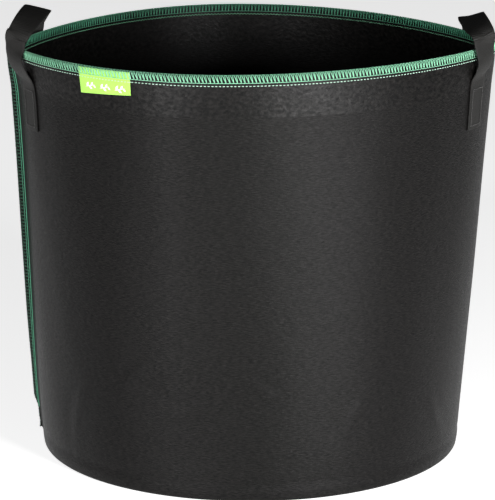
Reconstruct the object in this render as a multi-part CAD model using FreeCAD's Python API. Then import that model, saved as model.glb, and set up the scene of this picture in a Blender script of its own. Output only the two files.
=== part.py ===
"""Fabric grow bag: a round felt planter with webbing handles, a bound rim and a side seam.

Frame, in millimetres: origin on the floor at the middle of the round base, +Z up.
The label is at the front (-Y). The side seam is at the left (-X), and a handle stands at each side.
"""
import FreeCAD, Part
import math
import os

from bisect import bisect_right
from functools import lru_cache
from itertools import accumulate

from FreeCAD import Vector

# The bag
BAG_HEIGHT = 390.0
BASE_RADIUS = 200.0
FELT = 2.5                    # thickness of the needle-punched felt
BASE_ALLOWANCE = 10.0         # raw edges turned up inside at the base seam

# The open rim stands in an egg shape of the same girth as the base
RIM_WIDEST_X = -17.0          # where the rim is deepest from front to back
RIM_LEFT_REACH = 204.5        # from there to the left tip, at the side seam
RIM_RIGHT_REACH = 248.5
RIM_FRONT_DEPTH = 157.0       # in front of the line through the two tips
RIM_BACK_DEPTH = 217.0        # behind it
RIM_TIP_Y = -17.5
RIM_SKEW = 0.032              # how far that line turns from the X axis
RIM_LEFT_POWER = 1.45         # 1 is an ellipse, more is a sharper tip
RIM_RIGHT_POWER = 1.55
TIP_CROWDING = 0.85           # below 1 brings the points closer together at the tips
OUTLINE_POINTS = 80
LENGTH_STEPS = 2000
STRIP_STEP = 14.0            # spacing of the points along a stretch of the wall

# Five-thread safety stitch: an overlock over the raw edge and a chain stitch beside it
THREAD = 0.6
THREAD_GAP = 0.08             # thread lies this far off the felt
OVERLOCK_BITE = 6.6
CHAIN_BELOW_EDGE = 9.2
CHAIN_WIDTH = 0.8
THREAD_OUT = THREAD_GAP + THREAD
BASE_INSET = 2 * FELT + THREAD  # from the wall's face to the base panel, inside the wall's turned edge

# Side seam fin, both edges of the wall panel stitched face to face
FIN_DEPTH = 10.0
FIN_LEAN = math.radians(38)   # the fin points outwards and to the back
FIN_BOTTOM = 28.0             # below this the two edges butt and the fin is gone
FIN_TAPER = 12.0
FIN_STUB = 2.6                # what stays of the fin at the very foot
FIN_ROOT = 5.0                # the wall's face turns towards the fin this far from the tip
FIN_CORNER = 0.9              # and meets the fin's flat side at this depth
CUSP_DEPTH = 1.6              # how deep the two edges stay together inside, in thicknesses
SEAM_SLIT = 0.2               # the line between the two edges
SEAM_CLEARANCE = 7.0          # the rim and base thread stop this far from the seam

# Webbing handles
WEBBING_WIDTH = 25.0
WEBBING = 1.6
TAB_BOTTOM = 316.0
TAB_TOP = 360.0
HINGE_HEIGHT = 397.0
HINGE_GAP = 2.2               # webbing left out each side of the swing axis
SLIP = 0.1                    # between pieces that lie on each other
LEG_STAND_OFF = 1.6           # the free legs clear the rim stitching
TACK_MARGIN = 3.0
TACK_WIDTH = 1.0

# Label, folded in half and caught in the rim stitching
LABEL_CENTRE_X = -130.0
LABEL_WIDTH = 56.0
LABEL = 0.9
LABEL_BOTTOM = 366.0
LABEL_HINGE_GAP = 1.3
LABEL_CLEARANCE = 0.4         # the free flap stands off the felt


def quarter_angle(place):
    """Angle from the widest line, and front or back, at a place 0 to 1 round from the seam."""
    quarter = (place % 1.0) * 4
    side = -1 if quarter < 2 else 1
    from_left = quarter < 1 or quarter >= 3
    near_tip = {0: quarter, 1: 2 - quarter, 2: quarter - 2, 3: 4 - quarter}[int(quarter)]
    angle = math.pi / 2 * (1 - max(near_tip, 0.0) ** TIP_CROWDING)
    return (-angle if from_left else angle), side


def skin(place, z):
    """Point on the outer face of the wall."""
    angle, side = quarter_angle(place)
    sine, cosine = math.sin(angle), math.cos(angle)
    reach = RIM_LEFT_REACH if sine < 0 else RIM_RIGHT_REACH
    power = RIM_LEFT_POWER if sine < 0 else RIM_RIGHT_POWER
    depth = RIM_BACK_DEPTH if side > 0 else RIM_FRONT_DEPTH
    rim_x = RIM_WIDEST_X + reach * sine
    rim_y = RIM_TIP_Y + RIM_SKEW * rim_x + side * depth * cosine ** power
    rise = z / BAG_HEIGHT
    x = BASE_RADIUS * sine * (1 - rise) + rim_x * rise
    y = side * BASE_RADIUS * cosine * (1 - rise) + rim_y * rise
    return Vector(x, y, z)


def along(place, z):
    """Unit vector along the wall at one height, anticlockwise from above."""
    step = 0.003
    return (skin(place + step, z) - skin(place - step, z)).normalize()


def outward(place, z):
    run = along(place, z)
    return Vector(run.y, -run.x, 0)


def wall_point(place, z, inset):
    return skin(place, z) - outward(place, z) * inset


@lru_cache(maxsize=None)
def lengths(z):
    """Length of the outline at one height from the seam to each of many even places."""
    points = [skin(i / LENGTH_STEPS, z) for i in range(LENGTH_STEPS + 1)]
    return list(accumulate(((b - a).Length for a, b in zip(points, points[1:])), initial=0.0))


def girth(z):
    return lengths(z)[-1]


def length_at(place, z):
    index = min(int(place * LENGTH_STEPS), LENGTH_STEPS - 1)
    low, high = lengths(z)[index:index + 2]
    return low + (high - low) * (place * LENGTH_STEPS - index)


def place_at(length, z):
    """The place at a length along the wall from the seam, at this height."""
    turns, length = divmod(length, girth(z))
    table = lengths(z)
    index = min(bisect_right(table, length), LENGTH_STEPS) - 1
    return turns + (index + (length - table[index]) / (table[index + 1] - table[index])) / LENGTH_STEPS


def moved_along(place, z, distance):
    return place_at(length_at(place, z) + distance, z)


def place_of_front_x(x):
    """The place on the front of the rim with this X."""
    low, high = 0.0, 0.5
    for _ in range(40):
        middle = (low + high) / 2
        if skin(middle, BAG_HEIGHT).x < x:
            low = middle
        else:
            high = middle
    return low


def spline(points, parameters=None):
    curve = Part.BSplineCurve()
    if parameters:
        curve.interpolate(Points=points, Parameters=parameters)
    else:
        curve.interpolate(Points=points)
    return curve.toShape()


def closed_outline(z, inset):
    """Closed curve that follows the wall at one height."""
    places = [i / OUTLINE_POINTS for i in range(OUTLINE_POINTS)]
    curve = Part.BSplineCurve()
    curve.interpolate(Points=[wall_point(p, z, inset) for p in places], PeriodicFlag=True,
                      Parameters=places + [1.0])
    return curve.toShape()


def plug(z_low, z_high, inset):
    """Solid that fills the wall's outline, inset from its outer face."""
    wires = [Part.Wire([closed_outline(z, inset)]) for z in (z_low, z_high)]
    return Part.makeLoft(wires, True, True)


def strip_wire(centre, left, right, z, outer, inner):
    """Outline of a curved strip: from `left` to `right` of a centre place, between two insets."""
    place_low, place_high = moved_along(centre, z, left), moved_along(centre, z, right)
    count = max(8, round((right - left) / STRIP_STEP))
    steps = [i / count for i in range(count + 1)]
    places = [place_low + (place_high - place_low) * s for s in steps]
    outside = [wall_point(p, z, outer) for p in places]
    inside = [wall_point(p, z, inner) for p in reversed(places)]
    return Part.Wire([spline(outside, steps), Part.makeLine(outside[-1], inside[0]),
                      spline(inside, steps), Part.makeLine(inside[-1], outside[0])])


def patch(centre, left, right, z_low, z_high, outer, inner):
    """Curved plate on the wall, from `left` to `right` of a centre place, between two heights."""
    wires = [strip_wire(centre, left, right, z, outer, inner) for z in (z_low, z_high)]
    return Part.makeLoft(wires, True, True)


def hoop(z_low, z_high, outer, inner, start=SEAM_CLEARANCE, end=-SEAM_CLEARANCE):
    """Ring that stops short of the side seam on both sides, or a stretch between two lengths."""
    if end < 0:
        end += girth((z_low + z_high) / 2)
    return patch(0.0, start, end, z_low, z_high, outer, inner)


def fused(shapes):
    return shapes[0].multiFuse(shapes[1:]).removeSplitter()


# --- Side seam fin -------------------------------------------------------------------------------

FIN_OUT = Vector(-math.cos(FIN_LEAN), math.sin(FIN_LEAN), 0)
FIN_ACROSS = Vector(math.sin(FIN_LEAN), math.cos(FIN_LEAN), 0)


def on_fin(z, depth, side):
    """Point on the fin. Depth runs outwards from the tip line of the wall, side towards the back."""
    return skin(0.0, z) + FIN_OUT * depth + FIN_ACROSS * side


def fin_slab(depth_in, depth_out, side_low, side_high, z_low, z_high):
    wires = []
    for z in (z_low, z_high):
        corners = [on_fin(z, d, s) for d, s in ((depth_in, side_low), (depth_out, side_low),
                                                (depth_out, side_high), (depth_in, side_high))]
        wires.append(Part.makePolygon(corners + corners[:1]))
    return Part.makeLoft(wires, True, True)


def fin_foot_cutter():
    """Wedge that trims the foot of the fin to a slope and clears it below."""
    inner, outer = FIN_STUB, FIN_DEPTH + 5
    slope = FIN_TAPER / FIN_DEPTH
    profile = [(inner, FIN_BOTTOM), (outer, FIN_BOTTOM + slope * (outer - inner)), (outer, -60), (inner, -60)]
    foot = skin(0.0, FIN_BOTTOM)
    points = [Vector(foot.x, foot.y, z) + FIN_OUT * depth for depth, z in profile]
    face = Part.Face(Part.makePolygon(points + points[:1]))
    half = FELT + 2 * THREAD
    face.translate(FIN_ACROSS * -half)
    return face.extrude(FIN_ACROSS * 2 * half)


def panel_wire(z, inner):
    """Section of the wall panel: one strip whose two ends meet face to face in the fin."""
    start, end = place_at(FIN_ROOT, z), place_at(girth(z) - FIN_ROOT, z)
    count = OUTLINE_POINTS
    steps = [i / count for i in range(count + 1)]
    places = [start + (end - start) * s for s in steps]
    outside = [wall_point(p, z, 0) for p in places]
    inside = [wall_point(p, z, inner) for p in reversed(places)]
    slit = SEAM_SLIT / 2
    cusp = -FELT * CUSP_DEPTH * inner / FELT
    front = [inside[-1], on_fin(z, cusp, -slit), on_fin(z, FIN_DEPTH, -slit), on_fin(z, FIN_DEPTH, -FELT),
             on_fin(z, FIN_CORNER, -FELT), outside[0]]
    back = [outside[-1], on_fin(z, FIN_CORNER, FELT), on_fin(z, FIN_DEPTH, FELT), on_fin(z, FIN_DEPTH, slit),
            on_fin(z, cusp, slit), inside[0]]
    edges = [spline(outside, steps)] + [Part.makeLine(*pair) for pair in zip(back, back[1:])]
    edges += [spline(inside, steps)] + [Part.makeLine(*pair) for pair in zip(front, front[1:])]
    return Part.Wire(edges)


def wall_panel():
    thick = 2 * FELT + THREAD
    fold = Part.makeLoft([panel_wire(0, thick), panel_wire(FELT, thick)], True, True)
    wall = Part.makeLoft([panel_wire(FELT, FELT), panel_wire(BAG_HEIGHT, FELT)], True, True)
    inset, sunk = 0.15, 0.5
    turned_edge = hoop(FELT - sunk, BASE_ALLOWANCE, FELT + THREAD + inset, thick - inset)
    return fused([fold, wall, turned_edge]).cut(fin_foot_cutter())


def base_panel():
    """The flat of the felt disc."""
    return plug(0, FELT, BASE_INSET)


def base_turned_edge():
    """Edge of the felt disc, turned up inside the wall's."""
    low = FELT + SLIP
    return plug(low, BASE_ALLOWANCE, BASE_INSET).cut(plug(low - 1, BASE_ALLOWANCE + 1, BASE_INSET + FELT))


# --- Sewing thread -------------------------------------------------------------------------------

def around_label(z_low, z_high, outer, inner):
    """Two pieces of a hoop, one each side of the label."""
    label_at = length_at(LABEL_PLACE, BAG_HEIGHT)
    half = LABEL_WIDTH / 2 + LABEL_CLEARANCE
    return [hoop(z_low, z_high, outer, inner, SEAM_CLEARANCE, label_at - half),
            hoop(z_low, z_high, outer, inner, label_at + half, -SEAM_CLEARANCE)]


def over_label(z_low, z_high):
    """Thread that crosses the face of the label."""
    half, inner = LABEL_WIDTH / 2, -LABEL - SLIP - THREAD_GAP
    return patch(LABEL_PLACE, -half, half, z_low, z_high, inner - THREAD, inner)


def rim_overlock_thread():
    """Thread outside, inside and over the raw top edge, and round the top of the fin."""
    low, edge = BAG_HEIGHT - OVERLOCK_BITE, BAG_HEIGHT + THREAD_GAP
    top = edge + THREAD
    outside = around_label(low, edge, -THREAD_OUT, -THREAD_GAP)
    inside = hoop(low, edge, FELT + THREAD_GAP, FELT + THREAD_OUT)
    over_edge = hoop(edge, top, -THREAD_OUT, FELT + THREAD_OUT)
    face, over_fin = FELT + THREAD_GAP, FELT + THREAD_OUT
    tip = FIN_DEPTH + THREAD_GAP
    on_fin_top = [fin_slab(2, tip, -over_fin, -face, low, edge),
                  fin_slab(2, tip, face, over_fin, low, edge),
                  fin_slab(tip, tip + THREAD, -face, face, low, edge),
                  fin_slab(2, tip + THREAD, -over_fin, over_fin, edge, top)]
    return Part.makeCompound(outside + [over_label(low, edge), inside, over_edge] + on_fin_top)


def rim_chain_stitch():
    middle = BAG_HEIGHT - CHAIN_BELOW_EDGE
    low, high = middle - CHAIN_WIDTH / 2, middle + CHAIN_WIDTH / 2
    outside = around_label(low, high, -THREAD_OUT, -THREAD_GAP)
    inside = hoop(low, high, FELT + THREAD_GAP, FELT + THREAD_OUT)
    return Part.makeCompound(outside + [over_label(low, high), inside])


def side_seam_overlock_thread():
    high = BAG_HEIGHT - OVERLOCK_BITE - SLIP
    start = FIN_DEPTH - OVERLOCK_BITE
    tip, face, over_fin = FIN_DEPTH + THREAD_GAP, FELT + THREAD_GAP, FELT + THREAD_OUT
    sides = [fin_slab(start, tip, -over_fin, -face, FIN_BOTTOM, high),
             fin_slab(start, tip, face, over_fin, FIN_BOTTOM, high),
             fin_slab(tip, tip + THREAD, -over_fin, over_fin, FIN_BOTTOM, high)]
    return Part.makeCompound([side.cut(fin_foot_cutter()) for side in sides])


def side_seam_chain_stitch():
    high = BAG_HEIGHT - OVERLOCK_BITE - SLIP
    start = FIN_DEPTH - CHAIN_BELOW_EDGE + 2 * CHAIN_WIDTH
    low = FIN_BOTTOM + FIN_TAPER / 2
    return Part.makeCompound([fin_slab(start, start + CHAIN_WIDTH, side, side + THREAD, low, high)
                              for side in (-FELT - THREAD_OUT, FELT + THREAD_GAP)])


def base_seam_overlock_thread():
    """Binds the two turned-up edges inside the base seam."""
    low, edge = BASE_ALLOWANCE - OVERLOCK_BITE, BASE_ALLOWANCE + THREAD_GAP
    outer, inner = FELT + 0.15, BASE_INSET + FELT + THREAD_GAP
    return Part.makeCompound([hoop(edge, edge + THREAD, outer, inner + THREAD),
                              hoop(low, edge, inner, inner + THREAD)])


def base_seam_chain_stitch():
    outer, low = BASE_INSET + FELT + THREAD_GAP, FELT + THREAD_GAP
    return hoop(low, low + CHAIN_WIDTH - THREAD_GAP, outer, outer + THREAD)


# --- Label ---------------------------------------------------------------------------------------

LABEL_PLACE = place_of_front_x(LABEL_CENTRE_X)
LABEL_AXIS_HEIGHT = BAG_HEIGHT - CHAIN_BELOW_EDGE - 1.0


def label_blank():
    half = LABEL_WIDTH / 2
    return patch(LABEL_PLACE, -half, half, LABEL_AXIS_HEIGHT + LABEL_HINGE_GAP, BAG_HEIGHT, -LABEL - SLIP, -SLIP)


def label_sewn_edge():
    """The raw end of the folded label, caught under the rim stitching."""
    return label_blank()


def label_flap():
    """The free part of the label. It hangs from the needle line and can be lifted."""
    half = LABEL_WIDTH / 2
    stand_off = -LABEL_CLEARANCE
    return patch(LABEL_PLACE, -half, half, LABEL_BOTTOM, LABEL_AXIS_HEIGHT - LABEL_HINGE_GAP,
                 stand_off - LABEL, stand_off)


# --- Handles -------------------------------------------------------------------------------------

class Handle:
    """One strap: two ends sewn to the wall and a loop that stands above the rim between them."""

    def __init__(self, side, tip_place, front_reach, back_reach, front_hinge, back_hinge,
                 rise, bow, lean):
        self.side = side                                     # +1 right, -1 left
        towards_front = -side
        self.front_place = moved_along(tip_place, BAG_HEIGHT, towards_front * front_reach)
        self.back_place = moved_along(tip_place, BAG_HEIGHT, -towards_front * back_reach)
        self.front_hinge = Vector(front_hinge[0], front_hinge[1], HINGE_HEIGHT)
        self.back_hinge = Vector(back_hinge[0], back_hinge[1], HINGE_HEIGHT)
        self.rise = rise                                     # top of the loop above the hinge
        self.bow = bow                                       # how far the top stands out of line
        self.lean = math.radians(lean)                       # roll of the webbing at the top
        self.axis = (self.back_hinge - self.front_hinge).normalize()
        self.out = Vector(self.axis.y, -self.axis.x, 0) * side

    def section(self, centre, run, face):
        """Rectangle of webbing across a run, with its broad face towards `face`."""
        across = run.cross(face).normalize()
        normal = across.cross(run).normalize()
        half, thick = across * (WEBBING_WIDTH / 2), normal * (WEBBING / 2)
        corners = [centre - half - thick, centre + half - thick, centre + half + thick, centre - half + thick]
        return Part.makePolygon(corners + corners[:1])

    def loop(self):
        """Arch from one hinge point to the other. The webbing turns flat side up at the top."""
        middle = (self.front_hinge + self.back_hinge) * 0.5
        half_span = (self.back_hinge - self.front_hinge) * 0.5
        up = Vector(0, 0, 1)
        straight = 5.0                                       # the webbing stays flat this far
        sections = []
        for foot, sign in ((self.front_hinge, 1), (self.back_hinge, -1)):
            ends = [self.section(foot + up * z, up * sign, self.out) for z in (HINGE_GAP, straight)]
            sections.append(ends if sign > 0 else ends[::-1])
        arch = []
        count = 13
        for i in range(1, count):
            angle = math.pi * i / count
            sine, cosine = math.sin(angle), math.cos(angle)
            centre = middle - half_span * cosine + up * (straight + (self.rise - straight) * sine)
            centre += self.out * self.bow * sine ** 2
            run = half_span * sine + up * (self.rise - straight) * cosine
            over = (up * half_span.Length * sine - self.axis * (self.rise - straight) * cosine).normalize()
            roll = -self.lean + (math.pi / 2 + self.lean) * (1 - sine) ** 0.8
            arch.append(self.section(centre, run, over * math.cos(roll) + self.out * math.sin(roll)))
        return Part.makeLoft(sections[0] + arch + sections[1], True, True)

    def end(self, place, hinge):
        """Sewn tab on the wall and the short free leg above it, up to the hinge line."""
        half = WEBBING_WIDTH / 2
        tab = patch(place, -half, half, TAB_BOTTOM, TAB_TOP, -SLIP - WEBBING, -SLIP)
        up = Vector(0, 0, 1)
        top = HINGE_HEIGHT - HINGE_GAP
        start = TAB_TOP - 6
        sections = []
        for step in range(6):
            z = start + (top - start) * step / 5
            blend = min(max((z - TAB_TOP) / (top - 5 - TAB_TOP), 0.0), 1.0)
            blend = blend * blend * (3 - 2 * blend)
            on_wall_z = min(z, BAG_HEIGHT)
            stand_off = LEG_STAND_OFF * min(max((z - TAB_TOP) / (BAG_HEIGHT - TAB_TOP - 12), 0.0), 1.0)
            on_wall = wall_point(place, on_wall_z, -SLIP - WEBBING / 2 - stand_off)
            on_wall.z = z
            at_hinge = Vector(hinge.x, hinge.y, z)
            sections.append(self.section(on_wall * (1 - blend) + at_hinge * blend, up,
                                         outward(place, on_wall_z)))
        leg = Part.makeLoft(sections, True, True)
        return fused([tab, leg])

    def tack(self, place):
        """Rectangle of stitching that holds one end to the wall."""
        half = WEBBING_WIDTH / 2 - TACK_MARGIN
        low, high = TAB_BOTTOM + TACK_MARGIN, TAB_TOP - 2 * TACK_MARGIN
        outer, inner = -SLIP - WEBBING - THREAD, -SLIP - WEBBING
        plate = patch(place, -half, half, low, high, outer, inner)
        hole = patch(place, -half + TACK_WIDTH, half - TACK_WIDTH, low + TACK_WIDTH, high - TACK_WIDTH,
                     outer - 1, inner + 1)
        return plate.cut(hole)


HANDLES = {
    "left": Handle(side=-1, tip_place=0.0, front_reach=33, back_reach=70,
                   front_hinge=(-217.5, -52), back_hinge=(-208.5, 48), rise=25, bow=-9, lean=9),
    "right": Handle(side=1, tip_place=0.5, front_reach=38, back_reach=58,
                    front_hinge=(217, -50), back_hinge=(213, 42), rise=22, bow=-4, lean=16),
}


def main():
    os.makedirs("parts", exist_ok=True)
    nodes = {
        "wall_panel": wall_panel(),
        "base_panel": base_panel(),
        "base_turned_edge": base_turned_edge(),
        "rim_overlock_thread": rim_overlock_thread(),
        "rim_chain_stitch": rim_chain_stitch(),
        "side_seam_overlock_thread": side_seam_overlock_thread(),
        "side_seam_chain_stitch": side_seam_chain_stitch(),
        "base_seam_overlock_thread": base_seam_overlock_thread(),
        "base_seam_chain_stitch": base_seam_chain_stitch(),
        "label_sewn_edge": label_sewn_edge(),
        "label_flap": label_flap(),
    }
    for name, handle in HANDLES.items():
        nodes[name + "_handle_loop"] = handle.loop()
        nodes[name + "_handle_front_end"] = handle.end(handle.front_place, handle.front_hinge)
        nodes[name + "_handle_back_end"] = handle.end(handle.back_place, handle.back_hinge)
        nodes[name + "_front_tack_stitching"] = handle.tack(handle.front_place)
        nodes[name + "_back_tack_stitching"] = handle.tack(handle.back_place)
    for name, shape in nodes.items():
        shape.exportStep(os.path.join("parts", name + ".step"))
        print(name, "solids", len(shape.Solids), "volume", round(shape.Volume, 1), "valid", shape.isValid())


main()
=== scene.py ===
import math
from functools import lru_cache

import bpy
import numpy as np
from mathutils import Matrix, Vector


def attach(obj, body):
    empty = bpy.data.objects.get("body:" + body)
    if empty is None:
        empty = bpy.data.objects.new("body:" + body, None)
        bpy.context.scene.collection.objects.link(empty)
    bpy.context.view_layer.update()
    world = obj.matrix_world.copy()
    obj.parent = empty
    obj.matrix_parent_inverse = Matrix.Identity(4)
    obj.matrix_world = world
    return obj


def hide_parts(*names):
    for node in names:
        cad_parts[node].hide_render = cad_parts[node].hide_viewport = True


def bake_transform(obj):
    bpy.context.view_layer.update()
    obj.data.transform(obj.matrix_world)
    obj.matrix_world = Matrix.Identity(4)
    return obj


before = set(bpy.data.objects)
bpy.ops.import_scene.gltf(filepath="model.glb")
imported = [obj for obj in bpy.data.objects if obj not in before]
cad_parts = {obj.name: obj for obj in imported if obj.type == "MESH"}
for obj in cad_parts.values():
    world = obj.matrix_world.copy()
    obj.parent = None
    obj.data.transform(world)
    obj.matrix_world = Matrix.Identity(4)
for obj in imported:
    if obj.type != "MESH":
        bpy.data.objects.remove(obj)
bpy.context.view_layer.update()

MM = 0.001
UP = np.array([0.0, 0.0, 1.0])
rng = np.random.default_rng(20)

# The wall, as in the CAD
BAG_HEIGHT = 390.0
BASE_RADIUS = 200.0
FELT = 2.5
RIM_WIDEST_X = -17.0
RIM_LEFT_REACH = 204.5
RIM_RIGHT_REACH = 248.5
RIM_FRONT_DEPTH = 157.0
RIM_BACK_DEPTH = 217.0
RIM_TIP_Y = -17.5
RIM_SKEW = 0.032
RIM_LEFT_POWER = 1.45
RIM_RIGHT_POWER = 1.55
TIP_CROWDING = 0.85
LENGTH_STEPS = 2000

# Side seam fin
FIN_DEPTH = 10.0
FIN_LEAN_HEIGHTS = (0, 75, 130, 200, 340, 366, 390)
FIN_LEANS = (60, 58, 48, 41, 40, 46, 62)      # degrees back from straight out, at those heights
FIN_STUB = 3.0
FIN_FOOT = 0.4                # what is left of it in the fold at the foot
FIN_FLARE = 0.8               # the wall's face turns into the fin's this far out of the tip
CUSP_DEPTH = 3.4              # inside, the two edges stay together this deep
FIN_FULL_ABOVE = 41.0
FIN_STUB_BELOW = 29.0
WALL_STARTS = 8.0             # the wall's own curve runs to this far from the seam
FOOT_FOLD = 2.8               # radius of the fold at the foot of the wall

# Stitching
STITCH = 3.4                  # pitch
OVERLOCK_BITE = 6.6
CHAIN_BELOW_EDGE = 9.2
SEAM_GAP = 5.5                # the rim and base stitching stop this far from the seam
THREAD_LIFT = 0.12            # thread and webbing lie this far off the felt

# Webbing and label
WEBBING_WIDTH = 25.0
WEBBING = 1.6
TAB_BOTTOM = 316.0
TAB_TOP = 360.0
HINGE_HEIGHT = 397.0
LABEL_CENTRE_X = -132.2
LABEL_WIDTH = 56.0
LABEL_BOTTOM = 367.2
LABEL_SLANT = 1.7              # the fold is this much lower at its left end
LABEL_STAND_OFF = 0.45
LABEL_LAYER = 0.3
LABEL_FRONT = LABEL_STAND_OFF + 0.8           # middle of the front layer, off the wall
LABEL_AXIS_HEIGHT = 379.8


# --- Shape of the wall ---------------------------------------------------------------------------

def smooth(x):
    x = np.clip(x, 0.0, 1.0)
    return x * x * (3 - 2 * x)


def quarter_angle(place):
    quarter = (np.asarray(place, float) % 1.0) * 4
    side = np.where(quarter < 2, -1.0, 1.0)
    from_left = (quarter < 1) | (quarter >= 3)
    near_tip = np.select([quarter < 1, quarter < 2, quarter < 3],
                         [quarter, 2 - quarter, quarter - 2], 4 - quarter)
    angle = np.pi / 2 * (1 - np.maximum(near_tip, 0.0) ** TIP_CROWDING)
    return np.where(from_left, -angle, angle), side


def skin(place, z):
    """Outer face of the CAD wall at a place 0 to 1 round from the seam."""
    angle, side = quarter_angle(place)
    sine, cosine = np.sin(angle), np.maximum(np.cos(angle), 0.0)
    reach = np.where(sine < 0, RIM_LEFT_REACH, RIM_RIGHT_REACH)
    power = np.where(sine < 0, RIM_LEFT_POWER, RIM_RIGHT_POWER)
    depth = np.where(side > 0, RIM_BACK_DEPTH, RIM_FRONT_DEPTH)
    rim_x = RIM_WIDEST_X + reach * sine
    rim_y = RIM_TIP_Y + RIM_SKEW * rim_x + side * depth * cosine ** power
    rise = z / BAG_HEIGHT
    x = BASE_RADIUS * sine * (1 - rise) + rim_x * rise
    y = side * BASE_RADIUS * cosine * (1 - rise) + rim_y * rise
    return np.stack(np.broadcast_arrays(x, y, np.asarray(z, float)), -1)


def unit(v):
    return v / np.maximum(np.linalg.norm(v, axis=-1, keepdims=True), 1e-12)


def along(place, z):
    step = 0.003
    return unit(skin(place + step, z) - skin(place - step, z))


def outward(place, z):
    run = along(place, z)
    return np.stack([run[..., 1], -run[..., 0], np.zeros_like(run[..., 0])], -1)


# Faint folds: (place, height, slope in degrees, half length, half width, height of the fold)
FOLDS = (
    (0.155, 112, 38, 26, 5.0, 0.55),
    (0.178, 96, -20, 18, 4.0, -0.5),
    (0.190, 118, 30, 22, 4.5, 0.45),
    (0.205, 84, 12, 20, 5.0, 0.4),
    (0.262, 105, -35, 18, 4.0, 0.5),
    (0.273, 92, 28, 16, 4.5, -0.45),
    (0.335, 70, 60, 30, 7.0, 0.5),
    (0.090, 60, 70, 35, 8.0, 0.6),
    (0.430, 45, -50, 26, 7.0, 0.6),
    (0.620, 90, 40, 40, 8.0, 0.7),
    (0.740, 120, -30, 36, 8.0, 0.7),
    (0.850, 75, 35, 34, 8.0, 0.7),
)


def bell(x, width):
    return np.exp(-(x / width) ** 2)


def relief(place, z):
    """How far the soft wall stands out from the CAD's face."""
    place, z = np.broadcast_arrays(np.asarray(place, float), np.asarray(z, float))
    turn = 2 * np.pi * place
    up = np.clip(z / BAG_HEIGHT, 0, 1)
    out = 0.8 * np.sin(np.pi * up) * (0.5 - 0.5 * np.cos(turn)) ** 2
    # the seam sags in a little below the stiffer rim
    near_seam = (0.5 + 0.5 * np.cos(turn)) ** 6
    out = out - 4.6 * smooth(z / 330) * smooth((BAG_HEIGHT - z) / 45) * near_seam
    # a shallow upright hollow at the front, with a swell to its left
    hollow = 1.3 * bell(place - 0.236, 0.026) - 0.9 * bell(place - 0.192, 0.022)
    out = out - hollow * smooth(up / 0.25) * smooth((1 - up) / 0.12)
    # slow waves all the way round, and faint short ones on top of them
    fade = smooth(up / 0.12) * smooth((1 - up) / 0.10)
    out = out + fade * (0.9 * np.sin(3 * turn + 1.1 + 1.5 * up)
                        + 0.7 * np.sin(5 * turn + 4.0 - 2.2 * up)
                        + 0.45 * np.sin(8 * turn + 0.5 + 3.5 * up) * np.sin(np.pi * up + 0.6)
                        + 0.16 * np.sin(19 * turn + 5 * up) * np.sin(9.0 * up + 2 * np.sin(turn)))
    for at, height, slope, half_length, half_width, rise in FOLDS:
        across = (place - at) * 2 * np.pi * BASE_RADIUS
        c, s = math.cos(math.radians(slope)), math.sin(math.radians(slope))
        run = across * c + (z - height) * s
        off = -across * s + (z - height) * c
        off = off + 0.006 * run ** 2 * np.sign(slope)
        ridge = bell(off, half_width) - 0.5 * bell(off - 1.6 * half_width, half_width)
        out = out + rise * bell(run, half_length) * ridge
    # the turned-up edges inside print through a little above the floor
    out = out + 0.55 * bell(z - 9.0, 2.6) - 0.35 * bell(z - 15.0, 3.0)
    # the stitching draws the top edge in
    out = out - 0.25 * bell(z - (BAG_HEIGHT - CHAIN_BELOW_EDGE), 1.6)
    return out * smooth(z / 5.0)


def surface(place, z, out=0.0):
    """Point on the soft wall, `out` millimetres off its outer face."""
    lift = (relief(place, z) + out)[..., None]
    return skin(place, z) + outward(place, z) * lift


@lru_cache(maxsize=None)
def length_table(z):
    points = skin(np.linspace(0, 1, LENGTH_STEPS + 1), z)
    return np.concatenate([[0.0], np.cumsum(np.linalg.norm(np.diff(points, axis=0), axis=1))])


def girth(z):
    return length_table(z)[-1]


def place_at(length, z):
    """The place at a length along the wall from the seam, at this height."""
    table = length_table(float(z))
    length = np.asarray(length, float)
    return length // table[-1] + np.interp(length % table[-1], table, np.linspace(0, 1, LENGTH_STEPS + 1))


def length_of(place, z):
    return np.interp(place, np.linspace(0, 1, LENGTH_STEPS + 1), length_table(float(z)))


def place_rate(place, z):
    """Millimetres along the wall per unit of place."""
    step = 0.001
    return np.linalg.norm(skin(place + step, z) - skin(place - step, z), axis=-1) / (2 * step)


FRONT_PLACES = np.linspace(0, 0.5, 4001)
LABEL_PLACE = float(np.interp(LABEL_CENTRE_X, skin(FRONT_PLACES, BAG_HEIGHT)[:, 0], FRONT_PLACES))
LABEL_AT = float(length_of(LABEL_PLACE, BAG_HEIGHT))


# --- Meshes --------------------------------------------------------------------------------------

def mesh_object(name, verts, faces, uvs, mat, rounded=True):
    """Mesh in metres from points in millimetres, lists of corners and one UV per point."""
    mesh = bpy.data.meshes.new(name)
    mesh.from_pydata((verts * MM).tolist(), [], faces)
    layer = mesh.uv_layers.new(name="metres")
    loops = np.zeros(len(mesh.loops), np.int32)
    mesh.loops.foreach_get("vertex_index", loops)
    layer.data.foreach_set("uv", (uvs * MM)[loops].astype(np.float32).ravel())
    mesh.polygons.foreach_set("use_smooth", np.full(len(mesh.polygons), rounded))
    mesh.materials.append(mat)
    mesh.update()
    obj = bpy.data.objects.new(name, mesh)
    bpy.context.scene.collection.objects.link(obj)
    return obj


def grid_faces(rows, columns, first=0, flip=False):
    index = first + np.arange(rows * columns).reshape(rows, columns)
    quads = np.stack([index[:-1, :-1], index[:-1, 1:], index[1:, 1:], index[1:, :-1]], -1)
    quads = quads.reshape(-1, 4)
    return quads[:, ::-1] if flip else quads


def ring_faces(rings, sides):
    index = np.arange(rings * sides).reshape(rings, sides)
    around = np.roll(index, -1, axis=1)
    return np.stack([index[:-1], around[:-1], around[1:], index[1:]], -1).reshape(-1, 4)


def uv_grid(u, v):
    return np.stack(np.broadcast_arrays(u, v), -1)


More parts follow.
